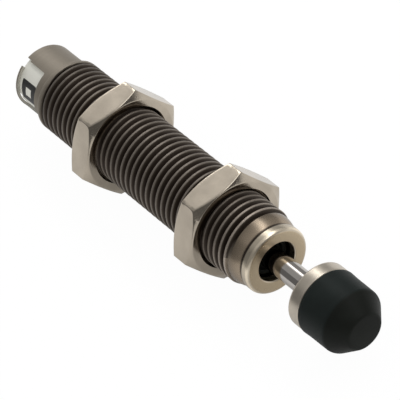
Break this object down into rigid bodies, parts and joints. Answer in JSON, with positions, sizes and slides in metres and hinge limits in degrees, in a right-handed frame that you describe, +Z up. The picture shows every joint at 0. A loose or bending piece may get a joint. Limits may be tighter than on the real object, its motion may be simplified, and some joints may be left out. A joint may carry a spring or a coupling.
{
  "type": "industrial shock absorber",
  "caption": "Adjustable hydraulic shock absorber with a threaded body, hexagon lock nuts, a sprung piston rod and a black rubber bumper.",
  "frame": {"origin": "centre of the rear end, on the thread's axis", "axes": "+X along the axis towards the bumper, +Z up, normal to one pair of the nuts' flats"},
  "size_m": [0.0904, 0.0208, 0.018],
  "materials": {
    "dark_steel": "dark satin plating, brown-black",
    "nickel": "warm satin nickel",
    "chrome_rod": "ground and polished hard chrome",
    "bumper_rubber": "matt black urethane",
    "seal_rubber": "matt black nitrile",
    "bronze": "turned bronze",
    "foam": "closed-cell foam",
    "steel": "turned steel",
    "spring_steel": "oiled spring wire",
    "silver_dial": "satin silver band with black numerals"
  },
  "bodies": {
    "body": {"outer_body": "dark_steel", "stop_collar": "nickel", "rod_wiper": "seal_rubber", "rod_seal": "seal_rubber", "rod_bearing": "bronze", "bearing_o_ring": "seal_rubber", "accumulator_foam": "foam", "inner_tube": "steel", "tube_seat": "steel", "return_spring": "spring_steel", "spindle_o_ring": "seal_rubber", "detent_ball": "steel", "detent_spring": "spring_steel"},
    "rod": {"piston_rod": "chrome_rod", "bumper_holder": "nickel", "bumper": "bumper_rubber", "piston": "bronze", "piston_clip": "spring_steel"},
    "check_ring": {"check_ring": "bronze"},
    "dial": {"adjuster_dial": "silver_dial", "dial_screw": "steel", "valve_spindle": "steel"},
    "rear_nut": {"rear_nut": "nickel"},
    "front_nut": {"front_nut": "nickel"}
  },
  "joints": [
    {"name": "rod_slide", "type": "slide", "parent": "body", "child": "rod", "axis": [-1, 0, 0], "range_m": [0, 0.01], "stiffness_N_per_m": 300, "springref_m": -0.02, "deforming": ["return_spring"]},
    {"name": "check_ring_float", "type": "slide", "parent": "rod", "child": "check_ring", "axis": [1, 0, 0], "range_m": [0, 0.0004]},
    {"name": "dial_turn", "type": "hinge", "parent": "body", "child": "dial", "pos_m": [0, 0, 0], "axis": [-1, 0, 0], "range_deg": [0, 240]},
    {"name": "rear_nut_travel", "type": "slide", "parent": "body", "child": "rear_nut", "axis": [1, 0, 0], "range_m": [-0.0117, 0.01024]},
    {"name": "front_nut_travel", "type": "slide", "parent": "body", "child": "front_nut", "axis": [1, 0, 0], "range_m": [-0.0117, 0.00439]}
  ]
}
